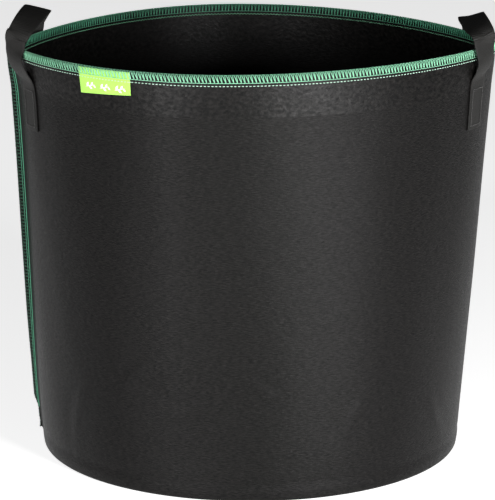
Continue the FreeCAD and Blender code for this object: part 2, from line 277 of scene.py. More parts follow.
def path_lengths(points):
    """Distance travelled at each point of a path."""
    return np.concatenate([[0.0], np.cumsum(np.linalg.norm(np.diff(points, axis=0), axis=1))])


def shell(outer, inner, uv):
    """Closed sheet between two grids of the same shape, its four edges bridged."""
    rows, columns = outer.shape[:2]
    count = rows * columns
    verts = np.concatenate([outer.reshape(-1, 3), inner.reshape(-1, 3)])
    index = np.arange(count).reshape(rows, columns)
    rim = np.concatenate([index[0, :-1], index[:-1, -1], index[-1, :0:-1], index[:0:-1, 0]])
    following = np.roll(rim, -1)
    bridge = np.stack([following, rim, rim + count, following + count], -1)
    faces = np.concatenate([grid_faces(rows, columns), grid_faces(rows, columns, count, True),
                            bridge])
    other_face = [2000.0, 0.0]                       # shifts its texture
    uvs = np.concatenate([uv.reshape(-1, 2), uv.reshape(-1, 2) + other_face])
    return verts, faces.tolist(), uvs


def tube(path, reference, radius, sides=6, flat=1.0):
    """Points, faces, UVs and sides of a thread along a path.

    `reference` is a direction off the path at each point. A `flat` below 1 squeezes the thread.
    """
    run = unit(np.gradient(path, axis=0))
    across = unit(np.cross(run, reference))
    off = np.cross(across, run)
    turn = 2 * np.pi * np.arange(sides) / sides
    ring = (across[:, None] * np.cos(turn)[None, :, None]
            + off[:, None] * (np.sin(turn) * flat)[None, :, None]) * radius
    verts = (path[:, None] + ring).reshape(-1, 3)
    uvs = uv_grid(path_lengths(path)[:, None], np.arange(sides)[None, :]).reshape(-1, 2)
    return verts, ring_faces(len(path), sides), uvs, sides


def threads(name, tubes, mat):
    """One object from several threads, their ends closed."""
    verts, faces, uvs, caps, first = [], [], [], [], 0
    for points, quads, uv, sides in tubes:
        verts.append(points)
        faces.append(quads + first)
        uvs.append(uv)
        last = first + len(points)
        caps.append(list(range(first + sides - 1, first - 1, -1)))
        caps.append(list(range(last - sides, last)))
        first = last
    return mesh_object(name, np.concatenate(verts), np.concatenate(faces).tolist() + caps,
                       np.concatenate(uvs), mat)


# --- Materials -----------------------------------------------------------------------------------

class Finish:
    """A Principled material with small helpers for its node tree."""

    def __init__(self, name, **values):
        self.mat = bpy.data.materials.new(name)
        self.mat.use_nodes = True
        self.tree = self.mat.node_tree
        self.shader = self.tree.nodes["Principled BSDF"]
        for socket, value in values.items():
            self.shader.inputs[socket.replace("_", " ")].default_value = value
        self.uv = self.tree.nodes.new("ShaderNodeUVMap").outputs[0]

    def link(self, value, socket):
        if isinstance(value, bpy.types.NodeSocket):
            self.tree.links.new(value, socket)
        else:
            socket.default_value = value

    def mapped(self, turn, stretch_x, stretch_y):
        node = self.tree.nodes.new("ShaderNodeMapping")
        node.inputs["Rotation"].default_value = (0, 0, math.radians(turn))
        node.inputs["Scale"].default_value = (stretch_x, stretch_y, 1)
        self.link(self.uv, node.inputs["Vector"])
        return node.outputs[0]

    def noise(self, vector, detail, roughness):
        node = self.tree.nodes.new("ShaderNodeTexNoise")
        self.link(vector, node.inputs["Vector"])
        node.inputs["Scale"].default_value = 1.0
        node.inputs["Detail"].default_value = detail
        node.inputs["Roughness"].default_value = roughness
        return node.outputs["Fac"]

    def wave(self, vector, scale, direction, distortion=0.0):
        node = self.tree.nodes.new("ShaderNodeTexWave")
        node.bands_direction = direction
        self.link(vector, node.inputs["Vector"])
        node.inputs["Scale"].default_value = scale
        node.inputs["Distortion"].default_value = distortion
        return node.outputs["Fac"]

    def math(self, operation, a, b=0.0, c=0.0):
        node = self.tree.nodes.new("ShaderNodeMath")
        node.operation = operation
        for value, socket in zip((a, b, c), node.inputs):
            self.link(value, socket)
        return node.outputs[0]

    def ramp(self, factor, *stops):
        node = self.tree.nodes.new("ShaderNodeValToRGB")
        elements = node.color_ramp.elements
        while len(elements) < len(stops):
            elements.new(0.5)
        for element, (position, colour) in zip(elements, stops):
            element.position = position
            element.color = (*colour, 1)
        self.link(factor, node.inputs[0])
        return node.outputs[0]

    def bump(self, height, distance, strength):
        node = self.tree.nodes.new("ShaderNodeBump")
        node.inputs["Strength"].default_value = strength
        node.inputs["Distance"].default_value = distance
        self.link(height, node.inputs["Height"])
        return node.outputs[0]

    def colour(self, value):
        self.link(value, self.shader.inputs["Base Color"])

    def roughness(self, value):
        self.link(value, self.shader.inputs["Roughness"])

    def normal(self, value):
        self.link(value, self.shader.inputs["Normal"])


def felt_material(name, dark, light, gloss):
    """Needle-punched felt: short glossy fibres lying in all directions, and faint clouding."""
    f = Finish(name, Specular_IOR_Level=gloss, Sheen_Weight=0.0)
    fibres = None
    for turn in (7, 49, 88, 131):
        strand = f.noise(f.mapped(turn, 210, 1250), 2.5, 0.6)
        strand = f.math("MULTIPLY", strand, strand)
        fibres = strand if fibres is None else f.math("ADD", fibres, strand)
    fibres = f.math("MULTIPLY", fibres, 0.25)                 # about 0.15 to 0.4
    clouds = f.noise(f.mapped(20, 150, 150), 4.0, 0.65)
    grain = f.noise(f.mapped(0, 1900, 1900), 2.0, 0.5)
    shade = f.math("MULTIPLY_ADD", f.math("SUBTRACT", fibres, 0.27), 5.5, 0.5)
    shade = f.math("MULTIPLY_ADD", f.math("SUBTRACT", clouds, 0.5), 0.7, shade)
    shade = f.math("MULTIPLY_ADD", f.math("SUBTRACT", grain, 0.5), 0.35, shade)
    f.colour(f.ramp(shade, (0.05, dark), (0.95, light)))
    f.roughness(f.math("MULTIPLY_ADD", shade, -0.14, 0.50))
    height = f.math("MULTIPLY_ADD", fibres, 2.2, f.math("MULTIPLY", grain, 0.35))
    f.normal(f.bump(height, 0.0007, 0.55))
    return f.mat


def webbing_material():
    """Polypropylene webbing: shiny black ribs across, with the warp crossing them."""
    f = Finish("webbing", Specular_IOR_Level=0.26, Sheen_Weight=0.0)
    ribs = f.wave(f.mapped(0, 1, 1), 385, "X")
    warp = f.wave(f.mapped(0, 1, 1), 290, "Y", 0.6)
    fuzz = f.noise(f.mapped(0, 2600, 1200), 3.0, 0.6)
    wear = f.noise(f.mapped(0, 60, 60), 3.0, 0.6)
    shade = f.math("MULTIPLY_ADD", ribs, 0.35, f.math("MULTIPLY", fuzz, 0.5))
    shade = f.math("MULTIPLY_ADD", wear, 0.3, shade)
    f.colour(f.ramp(shade, (0.15, (0.003, 0.0029, 0.0027)), (0.95, (0.018, 0.0173, 0.016))))
    f.roughness(f.math("MULTIPLY_ADD", fuzz, 0.25, 0.42))
    height = f.math("MULTIPLY_ADD", ribs, 0.8, f.math("MULTIPLY", fuzz, 0.5))
    height = f.math("MULTIPLY_ADD", warp, 0.45, height)
    f.normal(f.bump(height, 0.0003, 0.8))
    return f.mat


def thread_material(name, dark, light, gloss=0.4):
    """Twisted polyester thread."""
    f = Finish(name, Specular_IOR_Level=gloss, Sheen_Weight=0.2)
    twist = f.wave(f.mapped(35, 700, 700), 1.0, "X")
    change = f.noise(f.mapped(0, 130, 300), 2.0, 0.6)
    shade = f.math("MULTIPLY_ADD", twist, 0.45, f.math("MULTIPLY", change, 0.6))
    f.colour(f.ramp(shade, (0.1, dark), (0.95, light)))
    f.roughness(f.math("MULTIPLY_ADD", twist, -0.15, 0.62))
    f.normal(f.bump(twist, 0.0001, 0.7))
    return f.mat


def label_material(name, dark, light):
    """Satin ribbon: fine weave and a soft sheen."""
    f = Finish(name, Specular_IOR_Level=0.4, Sheen_Weight=0.15)
    weft = f.wave(f.mapped(0, 1, 1), 620, "Y")
    warp = f.wave(f.mapped(0, 1, 1), 620, "X")
    soft = f.noise(f.mapped(0, 45, 70), 3.0, 0.6)
    weave = f.math("MULTIPLY", weft, warp)
    shade = f.math("MULTIPLY_ADD", weave, 0.45, f.math("MULTIPLY", soft, 0.6))
    f.colour(f.ramp(shade, (0.1, dark), (0.9, light)))
    f.roughness(f.math("MULTIPLY_ADD", soft, 0.2, 0.38))
    f.normal(f.bump(weave, 0.00012, 0.6))
    return f.mat


FELT_FINISH = felt_material("felt", (0.0006, 0.0006, 0.0006), (0.0095, 0.0087, 0.0082), 0.11)
BASE_FINISH = felt_material("base_felt", (0.002, 0.0019, 0.0018), (0.009, 0.0084, 0.008), 0.10)
WEBBING_FINISH = webbing_material()
MINT_THREAD = thread_material("mint_thread", (0.10, 0.36, 0.20), (0.30, 0.66, 0.44))
PALE_THREAD = thread_material("pale_thread", (0.30, 0.50, 0.38), (0.55, 0.78, 0.64))
GREEN_THREAD = thread_material("green_thread", (0.015, 0.16, 0.085), (0.08, 0.36, 0.21))
# painted shade: the green thread made darker and duller for the side seam, standing in for the shade the
# seam lies in
SHADED_GREEN_THREAD = thread_material("shaded_green_thread", (0.003, 0.040, 0.020),
                                    (0.020, 0.125, 0.068), gloss=0.15)
BLACK_THREAD = thread_material("black_thread", (0.004, 0.004, 0.004), (0.03, 0.03, 0.028))
LABEL_FINISH = label_material("label_ribbon", (0.27, 0.58, 0.055), (0.44, 0.83, 0.13))
PRINT_FINISH = label_material("label_print", (0.80, 0.86, 0.74), (0.95, 0.98, 0.90))


# --- Wall ----------------------------------------------------------------------------------------

def fin_axes(z):
    """Unit vectors out along the fin and across it, towards the back."""
    lean = np.radians(np.interp(z, FIN_LEAN_HEIGHTS, FIN_LEANS))
    flat = np.zeros_like(lean)
    return (np.stack([-np.cos(lean), np.sin(lean), flat], -1),
            np.stack([np.sin(lean), np.cos(lean), flat], -1))


def fin_depth(z):
    full = smooth((z - FIN_STUB_BELOW) / (FIN_FULL_ABOVE - FIN_STUB_BELOW))
    depth = FIN_STUB + (FIN_DEPTH - FIN_STUB) * full
    return FIN_FOOT + (depth - FIN_FOOT) * smooth((z - 3.0) / 9.0)


def wall_rows():
    """Heights and insets of the wall's two faces, from the rim to the edge turned up inside."""
    down = np.concatenate([BAG_HEIGHT - np.array([0, 0.25, 0.9]),
                           np.linspace(BAG_HEIGHT - 3, FOOT_FOLD, 100)])
    ease = np.concatenate([[0.55, 0.15], np.zeros(len(down) - 2)])      # rounds the raw edge
    turn = np.linspace(0, np.pi, 10)[1:]
    up = np.array([5.5, 9.0, 10.0])
    rows = []
    for face, sign, radius in ((0.0, 1.0, FOOT_FOLD), (FELT, -1.0, FOOT_FOLD - FELT)):
        z = np.concatenate([down, FOOT_FOLD - radius * np.sin(turn), up])
        inset = np.concatenate([face + sign * ease, FOOT_FOLD - radius * np.cos(turn),
                                np.full(len(up), FOOT_FOLD + radius)])
        rows.append((z, inset))
    return rows


def wall_face(z, inset, inner, folded):
    """One row of one face: fin, a bend, the wall all the way round, a bend, fin.

    `folded` rows are those below the fold at the foot, where there is no fin.
    """
    count = 420
    lengths = np.linspace(WALL_STARTS, girth(z) - WALL_STARTS, count)
    places = place_at(lengths, z)
    body = surface(places, np.full(count, z), np.full(count, -inset))
    tip = surface(np.array(0.0), np.array(z), np.array(-inset if folded else 0.0))
    bare = 1.0 if folded else 1 - smooth((z - 4.0) / 10.0)
    if inner:
        side = 0.1 * (1 - bare) + 0.08 * bare
        root = -CUSP_DEPTH * (1 - bare) - (0.0 if folded else inset * bare)
    else:
        side = FELT * (1 - bare) + 0.12 * bare
        root = FIN_FLARE * (1 - bare)
    depths = np.linspace(FIN_FOOT if folded else fin_depth(z), root, 7)
    bend = np.linspace(0, 1, 6)[1:-1, None]
    fin_out, fin_across = fin_axes(z)
    ends = []
    for towards, first in ((-1, body[0]), (1, body[-1])):
        flat = tip + fin_out * depths[:, None] + fin_across * (towards * side)
        corner = tip + fin_out * (root - 1.5) + fin_across * (towards * side * 1.15)
        curve = flat[-1] * (1 - bend) ** 2 + corner * 2 * bend * (1 - bend) + first * bend ** 2
        ends.append(np.concatenate([flat, curve]))
    row = np.concatenate([ends[0], body, ends[1][::-1]])
    extra = len(ends[0])
    along_panel = np.concatenate([np.linspace(-12, WALL_STARTS - 1, extra), lengths,
                                  lengths[-1] + 1 + np.linspace(0, 19, extra)])
    return row, along_panel


def wall():
    rows = wall_rows()
    grids = []
    for inner, (heights, insets) in enumerate(rows):
        fold_from = len(heights) - 12
        faces = [wall_face(float(z), float(inset), bool(inner), i > fold_from)
                 for i, (z, inset) in enumerate(zip(heights, insets))]
        grids.append(np.stack([row for row, _ in faces]))
        panel = faces[-1][1]
    travelled = path_lengths(np.stack(rows[0], -1))
    uv = uv_grid(panel[None, :], travelled[::-1][:, None])
    return mesh_object("wall_felt", *shell(grids[0], grids[1], uv), FELT_FINISH)


def base():
    """Felt disc, a little uneven, with its edge turned up inside the wall's."""
    count = 260
    places = np.linspace(0, 1, count + 1)
    flat_inset = 3 * FELT + 0.6
    edge = skin(places, 2.0) - outward(places, 2.0) * flat_inset
    grids = []
    faces = ((0.15, 2.8, flat_inset - FELT), (0.15 + FELT, 0.4, flat_inset - 0.1))
    for upper, (height, bend_radius, edge_inset) in enumerate(faces):
        rows = []
        for share in (0.02, 0.25, 0.45, 0.62, 0.76, 0.87, 0.95):
            point = edge * share
            wobble = 0.35 * np.sin(point[:, 0] / 31.0 + 1) * np.sin(point[:, 1] / 27.0)
            point[:, 2] = height + upper * wobble * (1 - share)
            rows.append(point)
        bend = np.linspace(0, np.pi / 2, 5)
        heights = np.concatenate([2.95 - bend_radius * np.cos(bend), [6.0, 10.0]])
        insets = np.concatenate([flat_inset + 0.3 - bend_radius * np.sin(bend), [edge_inset] * 2])
        rows += [surface(places, np.full(count + 1, z), np.full(count + 1, -inset))
                 for z, inset in zip(heights, insets)]
        grids.append(np.stack(rows))
    return mesh_object("base_felt", *shell(grids[0], grids[1], grids[0][..., :2]), BASE_FINISH)


wall_piece = wall()
base_piece = base()


# --- Stitching -----------------------------------------------------------------------------------

def label_lift(length):
    """The stitching rides over the folded label."""
    return 1.15 * smooth((LABEL_WIDTH / 2 + 1.2 - np.abs(length - LABEL_AT)) / 1.6)


# Round the raw top edge, from the foot of the overlock outside to its foot inside
RIM_WRAP = np.array([0, 6.1, 6.9, 8.8, 9.6, 15.7])
RIM_WRAP_OUT = np.array([0.30, 0.30, -0.3, -2.2, -2.85, -2.85])
RIM_WRAP_Z = BAG_HEIGHT + np.array([-OVERLOCK_BITE, -0.4, 0.5, 0.5, -0.4, -OVERLOCK_BITE])
# Round the two raw edges of the fin, from the front face over the edge to the back face
FIN_WRAP = np.array([0, 6.1, 6.9, 11.1, 11.9, 18.0])
FIN_WRAP_SIDE = np.array([-2.8, -2.8, -2.2, 2.2, 2.8, 2.8])
FIN_WRAP_DEPTH = np.array([3.4, 9.5, 10.3, 10.3, 9.5, 3.4])
# Over the two raw edges that stand up inside at the foot of the wall
BASE_WRAP = np.array([0, 6, 7, 12, 13, 19])
BASE_WRAP_INSET = np.array([2.75, 2.75, 3.2, 8.0, 8.5, 8.5])
BASE_WRAP_Z = np.array([3.6, 9.6, 10.5, 10.5, 9.6, 3.6])


def rim_rail(length, wrap, lift=0.0):
    """Point on the rim, `wrap` millimetres round the edge, and a direction along the rim."""
    out = np.interp(wrap, RIM_WRAP, RIM_WRAP_OUT)
    z = np.interp(wrap, RIM_WRAP, RIM_WRAP_Z)
    inside = wrap > 7.8
    out = out + np.where(inside, -lift, lift + label_lift(length) * smooth((7.4 - wrap) / 1.5))
    place = place_at(length, BAG_HEIGHT)
    return surface(place, z, out), along(place, z)


def fin_point(z, depth, side):
    """Point on the fin, as a depth for its full width and a distance to its back."""
    foot = surface(np.zeros_like(z), z, np.zeros_like(z))
    fin_out, fin_across = fin_axes(z)
    return foot + fin_out * (depth * fin_depth(z) / FIN_DEPTH)[:, None] + fin_across * side[:, None]


def fin_rail(height, wrap, lift=0.0):
    side = np.interp(wrap, FIN_WRAP, FIN_WRAP_SIDE)
    depth = np.interp(wrap, FIN_WRAP, FIN_WRAP_DEPTH)
    side = side + lift * np.sign(side) * (np.abs(side) > FELT)
    point = fin_point(height, depth, side)
    return point, np.broadcast_to(UP, point.shape)


def base_rail(length, wrap, lift=0.0):
    inset = np.interp(wrap, BASE_WRAP, BASE_WRAP_INSET)
    z = np.interp(wrap, BASE_WRAP, BASE_WRAP_Z)
    place = place_at(length, 5.0)
    return surface(place, z, -inset - lift), along(place, z)


def zigzag(start, count, knots, samples, jitter):
    """Repeats one stitch's knots (along, wrap) and samples the line between them evenly."""
    knots = np.array(knots, float)
    base = np.tile(knots, (count, 1))
    base[:, 0] = base[:, 0] * STITCH + np.repeat(np.arange(count), len(knots)) * STITCH + start
    base[:, 0] += rng.normal(0, jitter, len(base))
    base[:, 1] += rng.normal(0, jitter * 0.6, len(base))
    at = np.arange(0, len(base) - 1 + 1e-9, 1 / samples)
    index = np.arange(len(base))
    return (np.interp(at, index, base[:, 0]), np.interp(at, index, base[:, 1]),
            np.sin(np.pi * (at % 1.0)))


def looper(rail, start, count, knots, radius, samples=7, sides=6):
    length, wrap, swell = zigzag(start, count, knots, samples, 0.13)
    path, reference = rail(length, wrap, 0.22 * swell)
    return tube(path, reference, radius, sides, 0.8)


def running(rail, start, count, wrap, radius, gap, lift=0.42, dive=0.5):
    """Line of stitches that dip into the felt between one and the next."""
    steps = 7
    t = np.arange(count * steps + 1) / steps
    phase = t % 1.0
    height = -dive + (dive + lift) * np.sin(np.pi * np.clip(phase / (1 - gap), 0, 1)) ** 0.6
    path, _ = rail(start + t * STITCH, np.full(len(t), wrap), height)
    place = place_at(start + t * STITCH, BAG_HEIGHT)
    return tube(path, outward(place, np.full(len(t), BAG_HEIGHT)), radius)


def needle_rail(length, _, lift):
    """Line of the chain stitch outside."""
    place = place_at(length, BAG_HEIGHT)
    z = np.full(len(length), BAG_HEIGHT - CHAIN_BELOW_EDGE)
    return surface(place, z, THREAD_LIFT + lift + label_lift(length)), along(place, z)


def loops_inside(start, count, sway):
    """Looper side of a chain stitch: a thread that swings from side to side as it runs."""
    samples = 10
    t = np.arange(count * samples + 1) / samples
    place = place_at(start + t * STITCH, BAG_HEIGHT)
    z = BAG_HEIGHT - CHAIN_BELOW_EDGE + sway * np.sin(2 * np.pi * t)
    path = surface(place, z, -FELT - 0.3 - 0.16 * np.cos(4 * np.pi * t))
    return tube(path, outward(place, z), 0.32)


RIM_STITCHES = int((girth(BAG_HEIGHT) - 2 * SEAM_GAP) / STITCH)

outside_knots = [(0, 0.0), (-0.36, 7.6), (-0.02, 7.9)]
inside_knots = [(0, 15.7), (0.10, 8.1), (0.55, 7.9)]
rim_outside = threads("rim_overlock_outside", [
    looper(rim_rail, SEAM_GAP, RIM_STITCHES, outside_knots, radius=0.42),
    running(rim_rail, SEAM_GAP, RIM_STITCHES, wrap=0.15, radius=0.30, gap=0.12, lift=0.5, dive=0.3),
], MINT_THREAD)
rim_inside = threads("rim_overlock_inside", [
    looper(rim_rail, SEAM_GAP, RIM_STITCHES, inside_knots, radius=0.34),
    running(rim_rail, SEAM_GAP, RIM_STITCHES, wrap=15.4, radius=0.26, gap=0.10, lift=0.45, dive=0.3),
], GREEN_THREAD)
rim_needle = threads("rim_chain_outside", [
    running(needle_rail, SEAM_GAP, RIM_STITCHES, wrap=0.0, radius=0.36, gap=0.42),
], PALE_THREAD)
rim_chain = threads("rim_chain_inside", [
    loops_inside(SEAM_GAP, RIM_STITCHES, 0.42),
    loops_inside(SEAM_GAP + STITCH / 2, RIM_STITCHES - 1, -0.42),
], MINT_THREAD)

FIN_TOP = BAG_HEIGHT - 1.0
FIN_THREAD_BOTTOM = 9.0
FIN_STITCHES = int((FIN_TOP - FIN_THREAD_BOTTOM) / STITCH)
fin_front_knots = [(0, 0.0), (0.42, 8.8), (0.62, 9.1)]
fin_back_knots = [(0, 18.0), (0.30, 9.4), (0.62, 9.0)]
# the side seam's overlock uses the green thread darkened as painted shade
fin_overlock = threads("side_seam_overlock", [
    looper(fin_rail, FIN_THREAD_BOTTOM, FIN_STITCHES, fin_front_knots, radius=0.32),
    looper(fin_rail, FIN_THREAD_BOTTOM, FIN_STITCHES, fin_back_knots, radius=0.32),
], SHADED_GREEN_THREAD)


def fin_edge():
    """Raw felt edges of the fin, puckered out between the stitches."""
    samples = 8
    t = np.arange(FIN_STITCHES * samples + 1) / samples
    z = FIN_THREAD_BOTTOM + t * STITCH
    swell = np.cos(2 * np.pi * (t - 0.02)) + 0.25 * np.sin(2.9 * t)
    turn = np.linspace(0, 2 * np.pi, 15)[:-1]
    sides = len(turn)
    depth = 8.0 + (2.9 + swell)[:, None] * np.cos(turn)
    side = (2.55 + 0.2 * swell)[:, None] * np.sin(turn)
    points = fin_point(np.repeat(z, sides), depth.ravel(), side.ravel())
    uvs = uv_grid(np.arange(sides)[None, :] * 1.1, z[:, None]).reshape(-1, 2)
    return points, ring_faces(len(z), sides), uvs, sides


fin_felt = threads("side_seam_felt_edges", [fin_edge()], FELT_FINISH)


def fin_line(side, depth, radius, sway):
    """One thread of the stitching on a face of the fin: side -1 is the front, 1 the back."""
    samples = 10
    low, high = 30.0, FIN_TOP - 6.0
    t = np.arange(int((high - low) / STITCH) * samples + 1) / samples
    z = low + t * STITCH
    height = FELT + 0.18 + 0.12 * np.cos(4 * np.pi * t)
    path = fin_point(z, depth + sway * np.sin(2 * np.pi * t), side * height)
    return tube(path, fin_axes(z)[1], radius)


fin_chain = threads("side_seam_chain", [
    fin_line(-1, 3.5, 0.34, 0.30), fin_line(-1, 1.0, 0.34, 0.30), fin_line(-1, 1.0, 0.34, -0.30),
    fin_line(1, 3.5, 0.32, 0.20), fin_line(1, 1.0, 0.34, 0.30),
], GREEN_THREAD)

BASE_STITCHES = int((girth(5.0) - 2 * SEAM_GAP) / STITCH)
base_knots = [(0, 19.0), (0.2, 9.6), (0.6, 6.4), (0.8, 9.6)]
base_overlock = threads("base_seam_overlock", [
    looper(base_rail, SEAM_GAP, BASE_STITCHES, base_knots, radius=0.36, samples=5, sides=5),
], GREEN_THREAD)


def base_line():
    """Chain stitch inside the base seam."""
    samples = 6
    t = np.arange(BASE_STITCHES * samples + 1) / samples
    place = place_at(SEAM_GAP + t * STITCH, 3.0)
    z = np.full(len(t), 3.6)
    path = surface(place, z, -8.6 + 0.5 * np.clip(np.cos(2 * np.pi * t), -1, 0.2))
    return tube(path, outward(place, z), 0.34, sides=5)


base_chain = threads("base_seam_chain", [base_line()], PALE_THREAD)


# --- Handles -------------------------------------------------------------------------------------

def mirrored(*stretches):
    """Joins the values up the front leg, over the arch and down the back leg."""
    front, arch, back = stretches
    return np.concatenate([front, arch, back[::-1]])


class Strap:
    """Webbing sewn flat to the wall, twisting as it leaves it, and arching over to the other tab."""

    STATION = 0.43                # spacing of the cross-sections up a leg
    STRAIGHT = 5.0                # the legs run this far past the hinge line
    PUFF = 2.6                    # how far the webbing bows off the wall while it twists
    COLUMNS = WEBBING_WIDTH / 2 * np.array([-1, -.985, -.93, -.8, -.6, -.4, -.2, 0,
                                            .2, .4, .6, .8, .93, .985, 1])

    def __init__(self, name, side, tip_place, front_reach, back_reach, front_hinge, back_hinge, rise,
                 bow, leg_heights, leg_turns, top_turn):
        self.name = name
        tip = length_of(tip_place, BAG_HEIGHT)
        self.front_place = float(place_at(tip - side * front_reach, BAG_HEIGHT))
        self.back_place = float(place_at(tip + side * back_reach, BAG_HEIGHT))
        self.front_hinge = np.array([*front_hinge, HINGE_HEIGHT])
        self.back_hinge = np.array([*back_hinge, HINGE_HEIGHT])
        self.axis = unit(self.back_hinge - self.front_hinge)
        self.out = np.array([self.axis[1], -self.axis[0], 0.0]) * side
        self.rise, self.bow = rise, bow                      # top above the hinge line, and out of it
        self.leg_heights, self.leg_turns = leg_heights, leg_turns
        self.top_turn = top_turn                             # degrees from facing straight up

    def leg(self, place, hinge, away):
        """Stations up one leg: centre, face direction, the wall's share of the shape, and height."""
        z = np.concatenate([np.arange(TAB_BOTTOM, TAB_TOP, self.STATION),
                            np.arange(TAB_TOP, HINGE_HEIGHT + self.STRAIGHT, self.STATION)])
        places, z_wall = np.full(len(z), place), np.minimum(z, BAG_HEIGHT)
        on_wall = surface(places, z_wall, np.full(len(z), THREAD_LIFT + WEBBING / 2))
        on_wall[:, 2] = z
        free = smooth((z - TAB_TOP) / (HINGE_HEIGHT - self.STRAIGHT - TAB_TOP))
        at_hinge = np.stack(np.broadcast_arrays(hinge[0], hinge[1], z), -1)
        up_leg = np.clip((z - TAB_TOP) / (HINGE_HEIGHT - TAB_TOP), 0, 1)
        puff = self.PUFF * np.sin(np.pi * up_leg) ** 2
        centre = on_wall * (1 - free)[:, None] + at_hinge * free[:, None] + self.out * puff[:, None]
        face_on_wall = outward(places, z_wall)
        flat_turn = np.degrees(np.arctan2(face_on_wall @ self.out, face_on_wall @ away))
        wanted = np.interp(z, self.leg_heights, self.leg_turns)
        mix = smooth((z - (TAB_TOP - 4)) / 14.0)
        turn = np.radians(flat_turn * (1 - mix) + wanted * mix)
        face = away * np.cos(turn)[:, None] + self.out * np.sin(turn)[:, None]
        return centre, face, 1 - smooth((z - (TAB_TOP - 6)) / 16.0), z

    def arch(self):
        """Centre and face direction from one leg over to the other."""
        middle = (self.front_hinge + self.back_hinge) / 2
        half_span = (self.back_hinge - self.front_hinge) / 2
        angle = np.linspace(0, np.pi, 260)[1:-1]
        sine, cosine = np.sin(angle)[:, None], np.cos(angle)[:, None]
        high = self.rise - self.STRAIGHT
        # a flatter top than a half ellipse, with tighter shoulders
        centre = middle - half_span * cosine + UP * (self.STRAIGHT + high * sine ** 0.9)
        centre = centre + self.out * self.bow * sine ** 0.8
        over = unit(UP * np.linalg.norm(half_span) * sine - self.axis * high * cosine)
        foot_turn = self.leg_turns[-1]
        turn = np.radians(self.top_turn + (foot_turn - self.top_turn) * (1 - sine) ** 1.5)
        return centre, over * np.cos(turn) + self.out * np.sin(turn)

    def build(self):
        front = self.leg(self.front_place, self.front_hinge, -self.axis)
        back = self.leg(self.back_place, self.back_hinge, self.axis)
        arch_centre, arch_face = self.arch()
        count = len(arch_centre)
        centres = mirrored(front[0], arch_centre, back[0])
        faces = mirrored(front[1], arch_face, back[1])
        on_wall = mirrored(front[2], np.zeros(count), back[2])
        z = mirrored(front[3], np.full(count, BAG_HEIGHT), back[3])
        z_wall = np.minimum(z, BAG_HEIGHT)
        is_back = mirrored(np.zeros(len(front[0])), np.zeros(count), np.ones(len(back[0]))) > 0
        places = np.where(is_back, self.back_place, self.front_place)
        direction = np.where(is_back, -1.0, 1.0)
        for _ in range(12):                                  # smooth the joins between the stretches
            inner = (centres[:-2] + 2 * centres[1:-1] + centres[2:]) / 4
            centres[1:-1] = inner
            faces[1:-1] = unit((faces[:-2] + 2 * faces[1:-1] + faces[2:]) / 4)
        run = unit(np.gradient(centres, axis=0))
        across = unit(np.cross(run, faces))
        normal = np.cross(across, run)
        share = np.abs(self.COLUMNS) / (WEBBING_WIDTH / 2)
        half_thick = WEBBING / 2 * (1 - 0.5 * share ** 10)
        travelled = path_lengths(centres)
        ribs = 0.09 * np.sin(2 * np.pi * travelled / 1.3)
        cup = 0.35 * (1 - share ** 2)
        # on the wall the webbing follows the wall's curve across its width
        shift = self.COLUMNS[None, :] * direction[:, None]
        place = places[:, None] + shift / place_rate(places, z_wall)[:, None]
        z_place = np.broadcast_to(z_wall[:, None], place.shape)
        grids = []
        for sign in (1, -1):
            thick = sign * (half_thick[None, :] + ribs[:, None])
            free = (centres[:, None] + across[:, None] * self.COLUMNS[None, :, None]
                    + normal[:, None] * (thick + cup[None, :])[..., None])
            hugging = surface(place, z_place, THREAD_LIFT + WEBBING / 2 + thick)
            hugging[..., 2] = z[:, None]
            grids.append(free * (1 - on_wall)[:, None, None] + hugging * on_wall[:, None, None])
        self.length = float(travelled[-1])
        uv = uv_grid(travelled[:, None], self.COLUMNS[None, :])
        return mesh_object(self.name + "_webbing", *shell(grids[0], grids[1], uv), WEBBING_FINISH)

    def tack(self, place, which):
        """Box of black stitches that holds one tab."""
        half = WEBBING_WIDTH / 2 - 3.2
        low, high = TAB_BOTTOM + 3.5, TAB_TOP - 6.5
        corners = [(-half, low), (half, low), (half, high), (-half, high), (-half, low)]
        points = []
        for (a0, z0), (a1, z1) in zip(corners, corners[1:]):
            steps = int(math.hypot(a1 - a0, z1 - z0) / 0.5)
            points += [(a0 + (a1 - a0) * s / steps, z0 + (z1 - z0) * s / steps) for s in range(steps)]
        points = np.array(points)
        phase = path_lengths(points) / 3.0 % 1.0             # the stitches are 3 mm long
        lift = -0.25 + 0.55 * np.sin(np.pi * np.clip(phase / 0.8, 0, 1)) ** 0.6
        places = place + points[:, 0] / place_rate(place, 340.0)
        path = surface(places, points[:, 1], THREAD_LIFT + WEBBING + 0.1 + lift)
        return threads(f"{self.name}_{which}_tack", [tube(path, outward(places, points[:, 1]), 0.30)],
                       BLACK_THREAD)


STRAPS = (
    Strap("left", side=-1, tip_place=0.0, front_reach=33, back_reach=70,
          front_hinge=(-217.5, -52), back_hinge=(-208.5, 48), rise=22, bow=-11,
          leg_heights=(356, 366, 379, 390, 402), leg_turns=(71, 70, 55, 41, 32), top_turn=-15),
    Strap("right", side=1, tip_place=0.5, front_reach=38, back_reach=58,
          front_hinge=(217, -50), back_hinge=(213, 42), rise=13, bow=-5,
          leg_heights=(356, 366, 373, 390, 402), leg_turns=(74, 66, 56, 44, 30), top_turn=-24),
)

for strap in STRAPS:
    webbing = strap.build()
    side = strap.name
    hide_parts(f"{side}_handle_loop", f"{side}_handle_front_end", f"{side}_handle_back_end")
    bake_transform(webbing)
    for place, which in ((strap.front_place, "front"), (strap.back_place, "back")):
        tack = strap.tack(place, which)
        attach(tack, "bag")
        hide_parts(f"{side}_{which}_tack_stitching")


# --- Label ---------------------------------------------------------------------------------------

